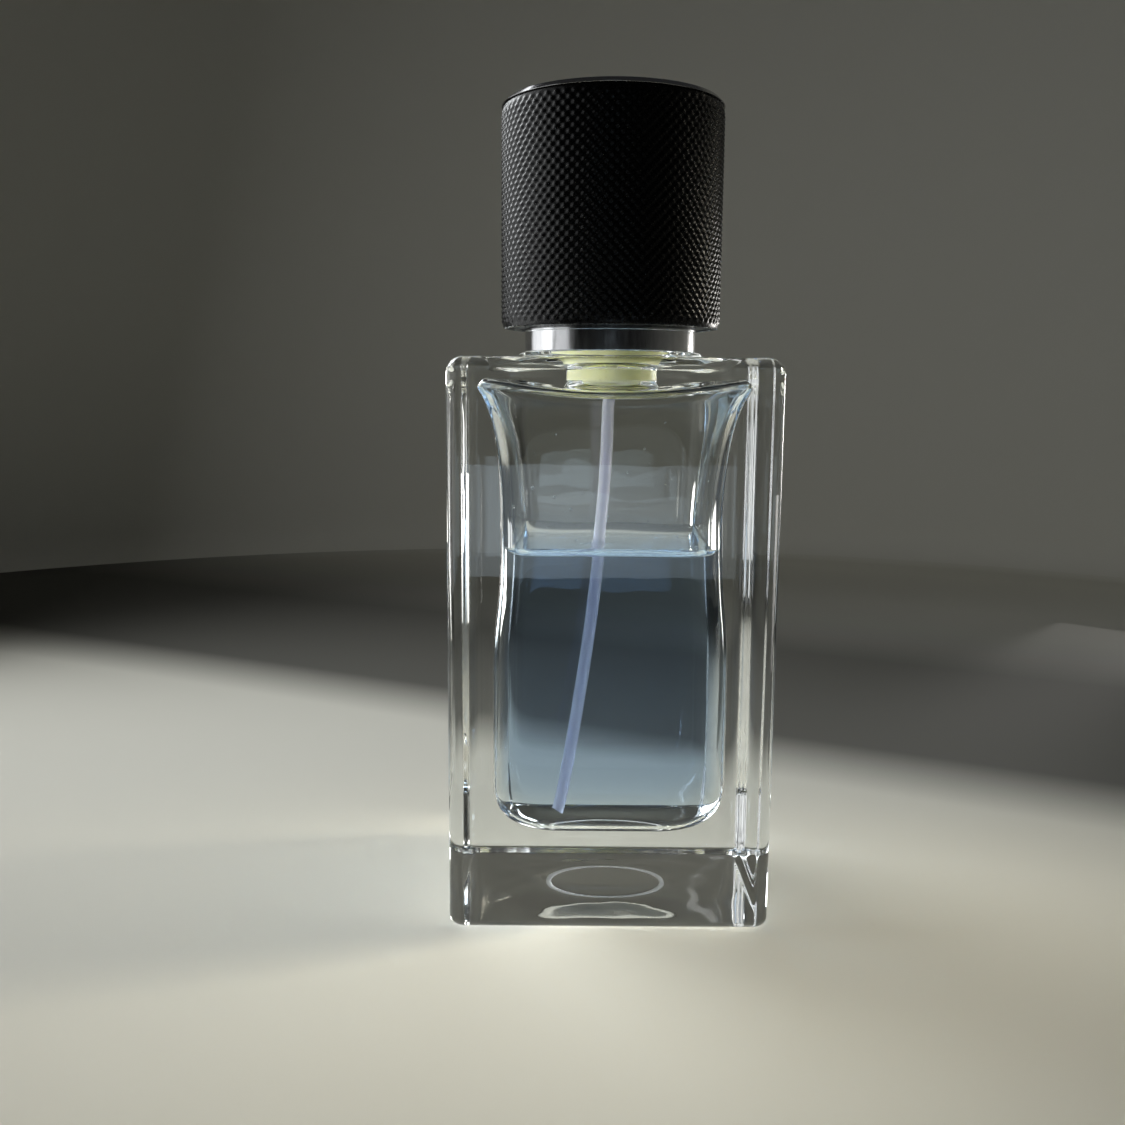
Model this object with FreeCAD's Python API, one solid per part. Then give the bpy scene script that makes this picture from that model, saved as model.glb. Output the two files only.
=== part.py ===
"""Aftershave bottle: a heavy square glass flacon with a crimped spray pump and a pull-off knurled cap.

Millimetres, +Z up. The origin is the centre of the base, on the surface that the bottle stands on.
The spray leaves the button towards -Y, the front of the bottle.
"""

import FreeCAD
import Part
import math
import os

Vec = FreeCAD.Vector

# ---- glass -----------------------------------------------------------------------------------------
WIDTH = 50.0  # square plan, so this is the depth too
SHOULDER_Z = 88.0
CORNER_R = 2.6  # upright edges
TOP_EDGE_R = 2.5
BASE_EDGE_R = 1.4
PUNT_R = 19.5  # shallow dish under the base
PUNT_DEPTH = 0.9
SEAT_BASE_R, SEAT_TOP_R, SEAT_H = 16.8, 14.6, 1.2  # low glass ring that the collar stands on

BELLY_HALF, BELLY_Z = 18.4, 39.0  # half width of the inside, the same all the way below this height
WAIST_HALF, WAIST_Z = 17.2, 59.0
CAVITY_FLARE = 3.8  # how much further out the inside reaches just under the shoulder than at its waist
CAVITY_CORNER = 5.0
CAVITY_FLOOR_Z = 12.6
CAVITY_CEILING_Z = 84.6
FLOOR_ROUND = 8.0  # height over which the floor turns up into the walls
CEILING_ROUND = 3.0
WALL_SECTIONS = 12
ROUND_SECTIONS = 6

# ---- neck finish, 20 mm crimp ----------------------------------------------------------------------
BORE_R = 7.2
NECK_R = 8.7
BEAD_R = 9.9
BEAD_Z = 92.6
NECK_TOP_Z = 96.0

# ---- liquid ----------------------------------------------------------------------------------------
FILL_Z = 57.6
FILL_GAP = 0.05

# ---- pump ------------------------------------------------------------------------------------------
GASKET_H = 1.0
FLANGE_R = 9.8
FLANGE_Z = NECK_TOP_Z + GASKET_H
FLANGE_H = 1.4
SKIRT_R, SKIRT_WALL, SKIRT_Z = 7.15, 0.9, 84.4  # outer wall of the housing, which fills the neck
HOUSING_R = 3.9
CHAMBER_R = 2.9
HOUSING_Z = 85.6
CHAMBER_Z = 87.6
CAGE_R, CAGE_BORE_R, CAGE_TOP_Z = 1.75, 1.25, 89.2
SPIGOT_R, SPIGOT_Z = 1.5, 82.8
INLET_R = 0.55
TUBE_R, TUBE_BORE_R = 1.0, 0.6
SOCKET_TOP_Z = 85.9
BALL_R = 1.0
BALL_GAP = 0.02

TURRET_Z = FLANGE_Z + FLANGE_H
TURRET_BASE_H = 1.0
TURRET_BOSS_R, TURRET_TOP_Z = 4.0, 102.0
STEM_R, STEM_BORE_R, STEM_TOP_Z = 1.7, 0.8, 109.4
STEM_RUN = 0.08  # running clearance in the turret
STEM_COLLAR_R, STEM_COLLAR_H = 2.7, 0.45
STEM_COLLAR_Z = TURRET_Z - 0.05 - STEM_COLLAR_H
PIN_HEAD_R, PIN_HEAD_Z, PIN_HEAD_H = 2.6, 94.0, 0.8
PIN_STUB = 1.3
PISTON_SPRING_Z = PIN_HEAD_Z + PIN_HEAD_H + 1.4
PISTON_R = CHAMBER_R - 0.02
PISTON_H = 2.2
PRESS_STROKE = 3.3  # how far the button goes down

# ---- ferrule and collar ----------------------------------------------------------------------------
FERRULE_R, FERRULE_WALL = 10.5, 0.45
FERRULE_TOP_Z = TURRET_Z + TURRET_BASE_H + FERRULE_WALL
COLLAR_R, COLLAR_WALL = 14.0, 0.6
COLLAR_Z, COLLAR_TOP_Z = SHOULDER_Z + SEAT_H, 101.4
COLLAR_HOLE_R = 9.1

# ---- spray button ----------------------------------------------------------------------------------
BUTTON_R, BUTTON_WALL = 8.5, 0.4
BUTTON_Z, BUTTON_TOP_Z = 103.6, 114.0
HEAD_H = 5.8  # solid upper part of the core, which holds the nozzle
POST_R, POST_Z = 3.2, TURRET_TOP_Z + PRESS_STROKE + 0.2
NOZZLE_Z, NOZZLE_R, NOZZLE_LENGTH = 110.2, 1.9, 2.4
ORIFICE_R = 0.15

# ---- cap -------------------------------------------------------------------------------------------
CAP_R = 18.0
CAP_Z, CAP_TOP_Z = 93.0, 128.5
CAP_WALL = 1.3
CAP_CHAMFER = 0.8
TOP_DISC_H = 1.6
LINER_RUN = 0.1  # sliding clearance on the collar
LINER_STEP_Z = COLLAR_TOP_Z + 0.05  # the cap comes to rest with this step on the collar
LINER_UPPER_R = 13.0
LINER_CEILING_Z = 119.6
LINER_ROOF_H = 1.6
WEIGHT_R = 12.0

os.makedirs("parts", exist_ok=True)


def save(name, shape):
    """Writes one node, after a check that it is made of closed solids."""
    solids = shape.Solids
    assert solids and all(s.isValid() and s.Volume > 0 for s in solids), name
    out = solids[0] if len(solids) == 1 else Part.makeCompound(solids)
    out.exportStep("parts/%s.step" % name)
    box = out.BoundBox
    print("%-16s %d solid(s) %9.1f mm3  z %.2f to %.2f" % (name, len(solids), out.Volume, box.ZMin, box.ZMax))


def cylinder(radius, low, high):
    return Part.makeCylinder(radius, high - low, Vec(0, 0, low))


def ring(outer, inner, low, high):
    return cylinder(outer, low, high).cut(cylinder(inner, low - 1, high + 1))


def turned(profile):
    """Solid turned about Z from a closed outline of (radius, z) corners."""
    corners = [Vec(r, 0, z) for r, z in profile]
    face = Part.Face(Part.makePolygon(corners + corners[:1]))
    return face.revolve(Vec(0, 0, 0), Vec(0, 0, 1), 360)


def edges_at(shape, z):
    """Edges that lie flat at height z."""
    return [e for e in shape.Edges if abs(e.BoundBox.ZMin - z) < 1e-4 and abs(e.BoundBox.ZMax - z) < 1e-4]


def bevel_rings(shape, size, *heights):
    """Chamfers every level edge at these heights."""
    return shape.makeChamfer(size, [e for z in heights for e in edges_at(shape, z)])


def rounded_square(half, corner, z):
    """Square wire with round corners, centred on the axis."""
    flat = half - corner
    diagonal = flat + corner * math.sqrt(0.5)
    turns = [(1, 1), (-1, 1), (-1, -1), (1, -1)]
    edges = []
    for i, (sx, sy) in enumerate(turns):
        starts_on_x = i % 2 == 0
        begin = Vec(sx * half, sy * flat, z) if starts_on_x else Vec(sx * flat, sy * half, z)
        end = Vec(sx * flat, sy * half, z) if starts_on_x else Vec(sx * half, sy * flat, z)
        edges.append(Part.Arc(begin, Vec(sx * diagonal, sy * diagonal, z), end).toShape())
        nx, ny = turns[(i + 1) % 4]
        following = Vec(nx * flat, ny * half, z) if starts_on_x else Vec(nx * half, ny * flat, z)
        edges.append(Part.LineSegment(end, following).toShape())
    return Part.Wire(edges)


def cavity_half(z):
    """Half width of the inside at height z, without the rounding at its two ends."""
    below_waist = min(1.0, max(0.0, (WAIST_Z - z) / (WAIST_Z - BELLY_Z)))
    belly = (BELLY_HALF - WAIST_HALF) * math.sin(math.pi / 2 * below_waist) ** 2
    above_waist = max(0.0, (z - WAIST_Z) / (CAVITY_CEILING_Z - WAIST_Z))
    return WAIST_HALF + belly + CAVITY_FLARE * above_waist**3


def cavity(gap=0.0):
    """Solid of the inside of the glass, smaller by gap all round."""
    low, high = CAVITY_FLOOR_Z + gap, CAVITY_CEILING_Z - gap
    sections = []
    for i in range(ROUND_SECTIONS):
        angle = math.pi / 2 * i / ROUND_SECTIONS
        sections.append((low + FLOOR_ROUND * (1 - math.cos(angle)), FLOOR_ROUND * (1 - math.sin(angle))))
    for i in range(WALL_SECTIONS):
        share = i / (WALL_SECTIONS - 1)
        sections.append((low + FLOOR_ROUND + (high - low - FLOOR_ROUND - CEILING_ROUND) * share, 0.0))
    for i in reversed(range(ROUND_SECTIONS)):
        angle = math.pi / 2 * i / ROUND_SECTIONS
        sections.append((high - CEILING_ROUND * (1 - math.cos(angle)), CEILING_ROUND * (1 - math.sin(angle))))
    wires = []
    for z, inset in sections:
        half = cavity_half(z) - gap - inset
        wires.append(rounded_square(half, min(CAVITY_CORNER, 0.55 * half), z))
    return Part.makeLoft(wires, True, True)


def bottle_glass(inside):
    body = Part.makeBox(WIDTH, WIDTH, SHOULDER_Z, Vec(-WIDTH / 2, -WIDTH / 2, 0))
    upright = [e for e in body.Edges if e.BoundBox.ZLength > 1]
    body = body.makeFillet(CORNER_R, upright)
    body = body.makeFillet(TOP_EDGE_R, edges_at(body, SHOULDER_Z))
    body = body.makeFillet(BASE_EDGE_R, edges_at(body, 0))
    sphere_r = (PUNT_R**2 + PUNT_DEPTH**2) / (2 * PUNT_DEPTH)
    body = body.cut(Part.makeSphere(sphere_r, Vec(0, 0, PUNT_DEPTH - sphere_r)))
    neck = turned(
        [
            (0, SHOULDER_Z - 1),
            (SEAT_BASE_R, SHOULDER_Z - 1),
            (SEAT_BASE_R, SHOULDER_Z),
            (SEAT_TOP_R + 0.5, SHOULDER_Z + 0.4 * SEAT_H),
            (SEAT_TOP_R, SHOULDER_Z + SEAT_H),
            (NECK_R, SHOULDER_Z + SEAT_H),
            (NECK_R, BEAD_Z - 0.6),
            (BEAD_R - 0.3, BEAD_Z),
            (BEAD_R, BEAD_Z + 0.5),
            (BEAD_R, NECK_TOP_Z - 0.7),
            (BEAD_R - 0.6, NECK_TOP_Z),
            (0, NECK_TOP_Z),
        ]
    )
    return body.fuse(neck).cut(inside).cut(cylinder(BORE_R, CAVITY_CEILING_Z - 3, NECK_TOP_Z + 1))


# ---- dip tube: straight in the spigot, then two easy bends towards the front left corner of the floor ----
TUBE_TOP_Z = SOCKET_TOP_Z
TUBE_BEND_Z = SPIGOT_Z - 0.6
TUBE_HEADING = Vec(-8.2, -6.4, 0).normalize()  # direction in plan that the tube leans in
TUBE_BENDS = ((60.0, 3.6), (350.0, 10.8))  # radius in mm and turn in degrees of each bend


def tube_path():
    """Wire of the tube's centre line, with each bend tangent to the last."""
    at, lean = Vec(0, 0, TUBE_BEND_Z), 0.0
    edges = [Part.LineSegment(Vec(0, 0, TUBE_TOP_Z), at).toShape()]

    def along(angle):
        return TUBE_HEADING * math.sin(angle) - Vec(0, 0, 1) * math.cos(angle)

    def across(angle):
        return TUBE_HEADING * math.cos(angle) + Vec(0, 0, 1) * math.sin(angle)

    for radius, turn in TUBE_BENDS:
        turn = math.radians(turn)
        centre = at + across(lean) * radius
        middle = centre - across(lean + turn / 2) * radius
        end = centre - across(lean + turn) * radius
        edges.append(Part.Arc(at, middle, end).toShape())
        at, lean = end, lean + turn
    print("dip tube ends at (%.1f, %.1f, %.1f), %.1f mm long" % (*at, sum(e.Length for e in edges)))
    return Part.Wire(edges), at, along(lean)


def piped(radius, path):
    section = Part.Wire([Part.Circle(Vec(0, 0, TUBE_TOP_Z), Vec(0, 0, 1), radius).toShape()])
    return path.makePipeShell([section], True, False)


def coil(mean_r, wire_r, low, high, turns):
    """Compression spring between two heights, with a wire that ends one wire radius inside each."""
    height = high - low - 2 * wire_r
    path = Part.makeHelix(height / turns, height, mean_r)
    section = Part.Wire([Part.Circle(Vec(mean_r, 0, 0), Vec(0, 1, 0), wire_r).toShape()])
    spring = Part.Wire(path.Edges).makePipeShell([section], True, True)
    spring.translate(Vec(0, 0, low + wire_r))
    return spring


def pump_housing():
    seat_top = SOCKET_TOP_Z + 0.5 + (CAGE_BORE_R - INLET_R)
    outside = turned(
        [
            (0, SPIGOT_Z),
            (SPIGOT_R - 0.2, SPIGOT_Z),
            (SPIGOT_R, SPIGOT_Z + 0.3),
            (SPIGOT_R, HOUSING_Z),
            (HOUSING_R - 1.0, HOUSING_Z),
            (HOUSING_R, HOUSING_Z + 1.0),
            (HOUSING_R, FLANGE_Z - 0.6),
            (SKIRT_R - SKIRT_WALL, FLANGE_Z - 0.6),
            (SKIRT_R - SKIRT_WALL, SKIRT_Z),
            (SKIRT_R - 0.3, SKIRT_Z),
            (SKIRT_R, SKIRT_Z + 0.3),
            (SKIRT_R, FLANGE_Z),
            (FLANGE_R, FLANGE_Z),
            (FLANGE_R, TURRET_Z),
            (0, TURRET_Z),
        ]
    )
    waterway = turned(
        [
            (0, SPIGOT_Z - 1),
            (TUBE_R, SPIGOT_Z - 1),
            (TUBE_R, SOCKET_TOP_Z),
            (INLET_R, SOCKET_TOP_Z),
            (INLET_R, SOCKET_TOP_Z + 0.5),
            (CAGE_BORE_R, seat_top),
            (CAGE_BORE_R, CAGE_TOP_Z + 1),
            (0, CAGE_TOP_Z + 1),
        ]
    )
    chamber = ring(CHAMBER_R, CAGE_R, CHAMBER_Z, CAGE_TOP_Z).fuse(cylinder(CHAMBER_R, CAGE_TOP_Z, TURRET_Z + 1))
    body = outside.cut(chamber).cut(waterway)
    nibs = ring(CAGE_BORE_R + 0.1, 0.8, CAGE_TOP_Z - 0.28, CAGE_TOP_Z)
    for i in range(3):
        reach = Part.makeBox(1.6, 0.9, 1, Vec(0, -0.45, CAGE_TOP_Z - 0.6))
        reach.rotate(Vec(0, 0, 0), Vec(0, 0, 1), 120 * i)
        body = body.fuse(nibs.common(reach))
    return body


def ball_centre_z():
    """Height at which the ball all but touches its 45 degree seat."""
    return SOCKET_TOP_Z + 0.5 - INLET_R + BALL_R * math.sqrt(2) + BALL_GAP


def pump_turret():
    base_top = TURRET_Z + TURRET_BASE_H
    return turned(
        [
            (STEM_R + STEM_RUN, TURRET_Z),
            (FLANGE_R, TURRET_Z),
            (FLANGE_R, base_top),
            (TURRET_BOSS_R, base_top),
            (TURRET_BOSS_R, TURRET_TOP_Z - 0.4),
            (TURRET_BOSS_R - 0.4, TURRET_TOP_Z),
            (STEM_R + STEM_RUN, TURRET_TOP_Z),
        ]
    )


def pump_stem():
    tube = ring(STEM_R, STEM_BORE_R, PIN_HEAD_Z + PIN_HEAD_H, STEM_TOP_Z)
    collar = ring(STEM_COLLAR_R, STEM_BORE_R, STEM_COLLAR_Z, STEM_COLLAR_Z + STEM_COLLAR_H)
    port = Part.makeCylinder(0.35, 2 * STEM_R + 2, Vec(-STEM_R - 1, 0, PIN_HEAD_Z + PIN_HEAD_H + 1.3), Vec(1, 0, 0))
    return tube.fuse(collar).removeSplitter().cut(port)


def valve_pin():
    top = PIN_HEAD_Z + PIN_HEAD_H
    return turned(
        [
            (0, PIN_HEAD_Z - PIN_STUB),
            (0.9, PIN_HEAD_Z - PIN_STUB),
            (1.2, PIN_HEAD_Z - PIN_STUB + 0.3),
            (1.2, PIN_HEAD_Z),
            (PIN_HEAD_R, PIN_HEAD_Z),
            (PIN_HEAD_R, PIN_HEAD_Z + 0.4),
            (PIN_HEAD_R - 0.4, top),
            (STEM_BORE_R, top),
            (STEM_BORE_R, top + 0.7),
            (0, top + 0.7),
        ]
    )


def pump_piston():
    """Cup seal: two thin lips on the chamber wall, a snug top lip on the stem, and a gap below that for liquid."""
    low = PIN_HEAD_Z + PIN_HEAD_H + 0.02
    high = low + PISTON_H
    return turned(
        [
            (STEM_R + 0.25, low),
            (2.15, low),
            (2.15, low + 0.7),
            (PISTON_R - 0.35, low + 0.15),
            (PISTON_R, low + 0.15),
            (PISTON_R, low + 0.6),
            (PISTON_R - 0.2, low + 1.0),
            (PISTON_R, low + 1.6),
            (PISTON_R, high),
            (PISTON_R - 0.35, high),
            (PISTON_R - 0.45, low + 1.4),
            (STEM_R + 0.03, low + 1.2),
            (STEM_R + 0.03, low + 0.9),
            (STEM_R + 0.25, low + 0.7),
        ]
    )


def crimp_ferrule():
    """Aluminium cup over the bead, gasket, flange and turret, turned in under the bead."""
    inner = FERRULE_R - FERRULE_WALL
    curl_z = BEAD_Z - 0.55
    return turned(
        [
            (TURRET_BOSS_R + 0.1, FERRULE_TOP_Z - FERRULE_WALL),
            (inner, FERRULE_TOP_Z - FERRULE_WALL),
            (inner, BEAD_Z + 0.1),
            (NECK_R + 0.35, curl_z),
            (NECK_R + 0.55, curl_z - FERRULE_WALL),
            (FERRULE_R - 0.2, BEAD_Z - 0.35),
            (FERRULE_R, BEAD_Z),
            (FERRULE_R, FERRULE_TOP_Z - 0.35),
            (FERRULE_R - 0.35, FERRULE_TOP_Z),
            (TURRET_BOSS_R + 0.1, FERRULE_TOP_Z),
        ]
    )


def collar_insert():
    """Plastic ring between ferrule and collar, with ribs that grip the ferrule."""
    outer = COLLAR_R - COLLAR_WALL - 0.02
    low, high = COLLAR_Z + 0.1, COLLAR_TOP_Z - COLLAR_WALL - 0.05
    wall = ring(outer, outer - 1.1, low, high)
    rib = Part.makeBox(outer - FERRULE_R - 0.9, 0.8, high - low - 1, Vec(FERRULE_R + 0.05, -0.4, low + 0.5))
    ribs = []
    for i in range(8):
        ribs.append(rib.copy())
        ribs[-1].rotate(Vec(0, 0, 0), Vec(0, 0, 1), 45 * i + 22.5)
    return wall.fuse(ribs)


def collar_ring():
    """Polished skirt with a flat top that the button passes through, and a fine bead just under the cap."""
    bead_z = CAP_Z - 0.55
    return turned(
        [
            (COLLAR_R - COLLAR_WALL, COLLAR_Z),
            (COLLAR_R - 0.15, COLLAR_Z),
            (COLLAR_R, COLLAR_Z + 0.15),
            (COLLAR_R, bead_z),
            (COLLAR_R + 0.08, bead_z + 0.08),
            (COLLAR_R + 0.08, bead_z + 0.38),
            (COLLAR_R, bead_z + 0.46),
            (COLLAR_R, COLLAR_TOP_Z - 0.5),
            (COLLAR_R - 0.5, COLLAR_TOP_Z),
            (COLLAR_HOLE_R, COLLAR_TOP_Z),
            (COLLAR_HOLE_R, COLLAR_TOP_Z - COLLAR_WALL),
            (COLLAR_R - COLLAR_WALL, COLLAR_TOP_Z - COLLAR_WALL),
        ]
    )


def nozzle_bore(radius, depth_from, depth_to):
    """Cylinder along Y through the front of the button, between two distances from the axis."""
    return Part.makeCylinder(radius, depth_to - depth_from, Vec(0, -depth_from, NOZZLE_Z), Vec(0, -1, 0))


def actuator_core():
    outer = BUTTON_R - BUTTON_WALL - 0.02
    top = BUTTON_TOP_Z - BUTTON_WALL - 0.02
    body = cylinder(outer, BUTTON_Z + 0.2, top)
    body = body.cut(ring(outer - 1.0, POST_R, BUTTON_Z, top - HEAD_H))
    body = body.cut(cylinder(outer - 1.0, BUTTON_Z, POST_Z))
    body = body.cut(cylinder(STEM_R, POST_Z - 1, STEM_TOP_Z + 0.02))
    body = body.cut(cylinder(STEM_BORE_R, STEM_TOP_Z, NOZZLE_Z + 0.6))
    body = body.cut(nozzle_bore(0.6, 0, outer))
    return body.cut(nozzle_bore(NOZZLE_R, outer - NOZZLE_LENGTH, outer + 1))


def actuator_shell():
    cup = cylinder(BUTTON_R, BUTTON_Z, BUTTON_TOP_Z)
    cup = cup.makeFillet(0.6, edges_at(cup, BUTTON_TOP_Z))
    cup = cup.cut(cylinder(BUTTON_R - BUTTON_WALL, BUTTON_Z - 1, BUTTON_TOP_Z - BUTTON_WALL))
    finger_dish_r = 60.0
    cup = cup.cut(Part.makeSphere(finger_dish_r, Vec(0, 0, BUTTON_TOP_Z + finger_dish_r - 0.2)))
    return cup.cut(nozzle_bore(NOZZLE_R + 0.25, 3, BUTTON_R + 1))


def nozzle_insert():
    back = BUTTON_R - BUTTON_WALL - 0.02 - NOZZLE_LENGTH
    face = back + NOZZLE_LENGTH
    plug = nozzle_bore(NOZZLE_R, back + 0.4, face)
    plug = plug.cut(nozzle_bore(1.1, back, face - 0.5))
    plug = plug.cut(nozzle_bore(ORIFICE_R, face - 1, face + 1))
    return plug.cut(Part.makeCone(ORIFICE_R, 0.9, 0.3, Vec(0, -(face - 0.3), NOZZLE_Z), Vec(0, -1, 0)))


def cap_sleeve():
    """Outer tube of the cap, at the radius of the knurl's crests, with a seat for the top disc."""
    inner = CAP_R - CAP_WALL
    seat = CAP_TOP_Z - TOP_DISC_H
    tube = ring(CAP_R, inner, CAP_Z, CAP_TOP_Z - CAP_CHAMFER)
    tube = tube.cut(cylinder(CAP_R - 0.5, seat, CAP_TOP_Z))
    return bevel_rings(tube, 0.2, CAP_Z)


def cap_top_disc():
    seat = CAP_TOP_Z - TOP_DISC_H
    rim_low = CAP_TOP_Z - CAP_CHAMFER
    return turned(
        [
            (0, seat),
            (CAP_R - 0.52, seat),
            (CAP_R - 0.52, rim_low),
            (CAP_R - 0.1, rim_low),
            (CAP_R - 0.1 - CAP_CHAMFER, CAP_TOP_Z),
            (0, CAP_TOP_Z),
        ]
    )


def cap_liner():
    """Plastic cup that grips the collar, closed by a roof, with a seat above for the weight."""
    outer = CAP_R - CAP_WALL - 0.02
    bore = COLLAR_R + 0.08 + LINER_RUN
    roof_top = LINER_CEILING_Z + LINER_ROOF_H
    disc_seat = CAP_TOP_Z - TOP_DISC_H - 0.02
    body = cylinder(outer, CAP_Z + 0.3, disc_seat)
    body = body.cut(cylinder(bore, CAP_Z, LINER_STEP_Z))
    body = body.cut(cylinder(LINER_UPPER_R, CAP_Z, LINER_CEILING_Z))
    return body.cut(cylinder(WEIGHT_R + 0.05, roof_top, disc_seat + 1))


def cap_weight():
    roof_top = LINER_CEILING_Z + LINER_ROOF_H
    slug = cylinder(WEIGHT_R, roof_top + 0.02, CAP_TOP_Z - TOP_DISC_H - 0.1)
    return bevel_rings(slug, 0.5, roof_top + 0.02, CAP_TOP_Z - TOP_DISC_H - 0.1)


def main():
    inside = cavity()
    save("bottle_glass", bottle_glass(inside))

    path, tube_end, tube_aim = tube_path()
    tube_skin = piped(TUBE_R, path)
    save("dip_tube", tube_skin.cut(piped(TUBE_BORE_R, path)))
    fill = cavity(FILL_GAP).common(Part.makeBox(WIDTH, WIDTH, FILL_Z, Vec(-WIDTH / 2, -WIDTH / 2, 0)))
    save("aftershave_fill", fill.cut(piped(TUBE_R + FILL_GAP, path)))

    save("neck_gasket", ring(FLANGE_R, SKIRT_R + 0.05, NECK_TOP_Z, FLANGE_Z))
    save("pump_housing", pump_housing())
    save("inlet_ball", Part.makeSphere(BALL_R, Vec(0, 0, ball_centre_z())))
    save("return_spring", coil(2.32, 0.2, CHAMBER_Z, PIN_HEAD_Z, 6))
    save("valve_pin", valve_pin())
    save("pump_piston", pump_piston())
    save("piston_spring", coil(2.1, 0.13, PISTON_SPRING_Z, STEM_COLLAR_Z, 4))
    save("pump_stem", pump_stem())
    save("pump_turret", pump_turret())
    save("crimp_ferrule", crimp_ferrule())
    save("collar_insert", collar_insert())
    save("collar_ring", collar_ring())

    save("actuator_core", actuator_core())
    save("actuator_shell", actuator_shell())
    save("nozzle_insert", nozzle_insert())

    save("cap_sleeve", cap_sleeve())
    save("cap_top_disc", cap_top_disc())
    save("cap_liner", cap_liner())
    save("cap_weight", cap_weight())


main()
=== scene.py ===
"""Looks of the aftershave bottle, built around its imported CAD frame.

Shapes are given in millimetres. The camera, the lamps and the materials' scales are in metres.
"""

import math

import bmesh
import bpy
import numpy as np
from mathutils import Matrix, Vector


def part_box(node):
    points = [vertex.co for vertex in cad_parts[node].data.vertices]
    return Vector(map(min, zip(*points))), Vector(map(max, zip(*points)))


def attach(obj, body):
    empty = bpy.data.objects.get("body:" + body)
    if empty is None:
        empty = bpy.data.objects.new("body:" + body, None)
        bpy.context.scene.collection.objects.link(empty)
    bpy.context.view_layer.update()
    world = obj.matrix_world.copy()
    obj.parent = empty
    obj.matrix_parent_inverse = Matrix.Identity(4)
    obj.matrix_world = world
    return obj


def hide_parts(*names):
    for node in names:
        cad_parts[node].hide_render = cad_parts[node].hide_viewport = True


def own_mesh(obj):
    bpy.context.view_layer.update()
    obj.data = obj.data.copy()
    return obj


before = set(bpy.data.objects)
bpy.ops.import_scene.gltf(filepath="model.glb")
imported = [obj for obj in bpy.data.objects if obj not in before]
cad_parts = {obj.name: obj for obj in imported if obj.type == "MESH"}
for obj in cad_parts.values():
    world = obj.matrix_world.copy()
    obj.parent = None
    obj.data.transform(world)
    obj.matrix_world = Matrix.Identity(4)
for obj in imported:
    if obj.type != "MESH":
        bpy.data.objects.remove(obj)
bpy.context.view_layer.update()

MM = 0.001  # metres


# ---- camera ----------------------------------------------------------------------------------------


def add_camera():
    """A phone about 190 mm in front of the bottle, level with its shoulder and tipped down a little."""
    data = bpy.data.cameras.new("camera")
    data.sensor_width = 36.0
    data.lens = 36.9
    data.clip_start = 0.01
    camera = bpy.data.objects.new("camera", data)
    camera.location = (-0.0078, -0.1942, 0.0835)
    camera.rotation_euler = (math.radians(90 - 8.63), math.radians(-0.43), 0)
    bpy.context.scene.collection.objects.link(camera)
    bpy.context.scene.camera = camera


add_camera()


# ---- mesh helpers ----------------------------------------------------------------------------------


def new_object(name, verts, faces, mats, face_mats=None):
    """Smooth-shaded mesh object from plain lists. face_mats gives each face its material's number."""
    mesh = bpy.data.meshes.new(name)
    mesh.from_pydata([tuple(v) for v in verts], [], [tuple(f) for f in faces])
    for mat in mats:
        mesh.materials.append(mat)
    if face_mats is not None:
        mesh.polygons.foreach_set("material_index", np.asarray(face_mats, dtype=np.int32))
    mesh.polygons.foreach_set("use_smooth", [True] * len(mesh.polygons))
    mesh.validate()
    mesh.update()
    piece = bpy.data.objects.new(name, mesh)
    bpy.context.scene.collection.objects.link(piece)
    return piece


def shade_by_angle(piece, degrees):
    """Smooth shading with sharp edges where the surface turns by more than this angle."""
    piece.data.set_sharp_from_angle(angle=math.radians(degrees))


def skin(rings, start=None, end=None):
    """Vertices and quads over a stack of equal rings, closed by a point at either end if one is given.

    The third list says which ring each face starts from.
    """
    count = len(rings[0])
    verts = [p for ring in rings for p in ring]
    faces = []
    owner = []
    for k in range(len(rings) - 1):
        for i in range(count):
            j = (i + 1) % count
            faces.append((k * count + i, k * count + j, (k + 1) * count + j, (k + 1) * count + i))
            owner.append(k)
    if start is not None:
        verts.append(start)
        pole = len(verts) - 1
        faces += [(pole, (i + 1) % count, i) for i in range(count)]
        owner += [0] * count
    if end is not None:
        verts.append(end)
        pole = len(verts) - 1
        last = (len(rings) - 1) * count
        faces += [(last + i, last + (i + 1) % count, pole) for i in range(count)]
        owner += [len(rings) - 2] * count
    return verts, faces, owner


def circle(radius, z, count):
    """Points of a level circle, from a radius and a height in mm."""
    r, turn = radius * MM, 2 * math.pi / count
    return [(r * math.cos(turn * i), r * math.sin(turn * i), z * MM) for i in range(count)]


def lathe(name, outline, mats, edge_mats, segments):
    """Turned piece from a closed outline of (radius, z) in mm, with a material's number for each edge."""
    rings = [circle(r, z, segments) for r, z in outline]
    verts, faces, owner = skin(rings + rings[:1])
    piece = new_object(name, verts, faces, mats, [edge_mats[k] for k in owner])
    tidy(piece)
    return piece


def tidy(piece):
    """Joins doubled points, drops empty faces and turns every face outwards."""
    work = bmesh.new()
    work.from_mesh(piece.data)
    bmesh.ops.remove_doubles(work, verts=work.verts, dist=1e-7)
    bmesh.ops.dissolve_degenerate(work, edges=work.edges, dist=1e-8)
    bmesh.ops.recalc_face_normals(work, faces=work.faces)
    work.to_mesh(piece.data)
    work.free()


def arc(centre, radius, begin, end, steps):
    """Points of an arc in the (r, z) plane, from one angle to another in degrees, both ends included."""
    cr, cz = centre
    angles = [math.radians(begin + (end - begin) * i / steps) for i in range(steps + 1)]
    return [(cr + radius * math.cos(a), cz + radius * math.sin(a)) for a in angles]


def even_steps(first, last, count):
    """Evenly spaced values, with both ends included."""
    return [first + (last - first) * i / count for i in range(count + 1)]


# ---- material helpers ------------------------------------------------------------------------------


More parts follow.
